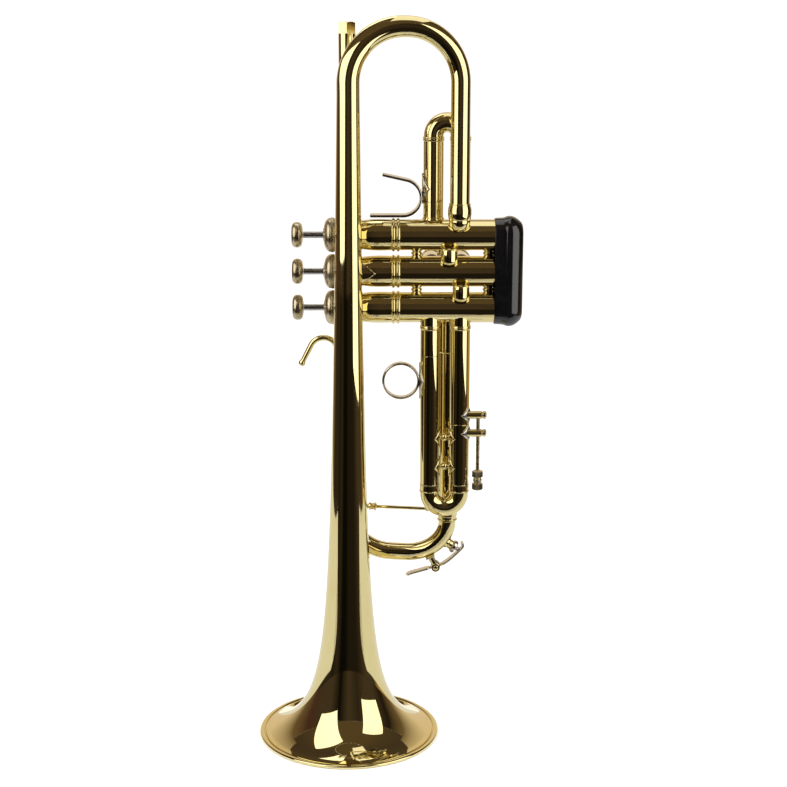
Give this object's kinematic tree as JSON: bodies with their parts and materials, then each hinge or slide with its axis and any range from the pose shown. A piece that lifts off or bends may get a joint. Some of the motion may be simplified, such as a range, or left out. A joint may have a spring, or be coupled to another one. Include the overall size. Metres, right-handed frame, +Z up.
{
  "type": "trumpet",
  "caption": "Three-valve B-flat trumpet standing on its bell, with sprung valves, pull-out slides, a finger ring, a thumb saddle and a water key.",
  "frame": {"origin": "middle of the bounding box's footprint, on the surface that the bell's rim stands on", "axes": "+Z up along the bell's axis from its rim to the bow; +X from the finger buttons to the bottom caps; +Y from the bell tube to the leadpipe"},
  "size_m": [0.1763, 0.1274, 0.4782],
  "materials": {
    "brass": "polished and lacquered",
    "nickel": "worn nickel plate",
    "steel": "plain",
    "rubber": "glossy black",
    "nylon": "moulded"
  },
  "bodies": {
    "horn": {"bell_flare": "brass", "bell_tube": "brass", "bell_bow": "brass", "bell_ferrule": "brass", "casing_1": "brass", "top_cap_1": "nickel", "bottom_cap_1": "brass", "valve_spring_1": "steel", "valve_guide_1": "nylon", "casing_2": "brass", "top_cap_2": "nickel", "bottom_cap_2": "brass", "valve_spring_2": "steel", "valve_guide_2": "nylon", "casing_3": "brass", "top_cap_3": "nickel", "bottom_cap_3": "brass", "valve_spring_3": "steel", "valve_guide_3": "nylon", "valve_guard": "rubber", "baluster_12_inner": "brass", "baluster_12_outer": "brass", "baluster_23_inner": "brass", "baluster_23_outer": "brass", "knuckle_12": "brass", "knuckle_23": "brass", "first_slide_tube_1": "brass", "first_slide_tube_2": "brass", "second_slide_tube_1": "brass", "second_slide_tube_2": "brass", "third_slide_inner_tube": "brass", "third_slide_outer_tube": "brass", "stop_post_fixed": "brass", "stop_rod": "nickel", "stop_nut": "nickel", "leadpipe": "brass", "mouthpiece_receiver": "brass", "tuning_tube_upper": "brass", "tuning_tube_lower": "brass", "tuning_brace": "brass", "pinky_hook": "brass", "bell_casing_brace": "brass", "leadpipe_brace": "brass"},
    "valve_1": {"piston_1": "steel", "button_1": "nickel"},
    "valve_2": {"piston_2": "steel", "button_2": "nickel"},
    "valve_3": {"piston_3": "steel", "button_3": "nickel"},
    "first_slide": {"first_slide_crook": "brass", "thumb_saddle": "nickel"},
    "second_slide": {"second_slide_crook": "brass"},
    "third_slide": {"third_slide_crook": "brass", "finger_ring": "nickel", "third_slide_brace_1": "nickel", "third_slide_brace_2": "nickel", "stop_post_sliding": "brass"},
    "tuning_slide": {"tuning_crook": "brass", "water_key_post": "brass"},
    "water_key": {"water_key_lever": "nickel"}
  },
  "joints": [
    {"name": "valve_1_press", "type": "slide", "parent": "horn", "child": "valve_1", "axis": [1, 0, 0], "range_m": [0, 0.0125], "stiffness_N_per_m": 150, "springref_m": -0.012, "deforming": ["valve_spring_1"]},
    {"name": "valve_2_press", "type": "slide", "parent": "horn", "child": "valve_2", "axis": [1, 0, 0], "range_m": [0, 0.0125], "stiffness_N_per_m": 150, "springref_m": -0.012, "deforming": ["valve_spring_2"]},
    {"name": "valve_3_press", "type": "slide", "parent": "horn", "child": "valve_3", "axis": [1, 0, 0], "range_m": [0, 0.0125], "stiffness_N_per_m": 150, "springref_m": -0.012, "deforming": ["valve_spring_3"]},
    {"name": "first_slide_pull", "type": "slide", "parent": "horn", "child": "first_slide", "axis": [0, 0, 1], "range_m": [0, 0.018]},
    {"name": "second_slide_pull", "type": "slide", "parent": "horn", "child": "second_slide", "axis": [0, 1, 0], "range_m": [0, 0.012]},
    {"name": "third_slide_pull", "type": "slide", "parent": "horn", "child": "third_slide", "axis": [0, 0, -1], "range_m": [0, 0.022]},
    {"name": "tuning_slide_pull", "type": "slide", "parent": "horn", "child": "tuning_slide", "axis": [0, 0, -1], "range_m": [0, 0.045]},
    {"name": "water_key_open", "type": "hinge", "parent": "tuning_slide", "child": "water_key", "pos_m": [0.03256, 0.03286, 0.1063], "axis": [0, 1, 0], "range_deg": [0, 14], "stiffness_Nm_per_rad": 0.03, "springref_deg": -34.38}
  ]
}
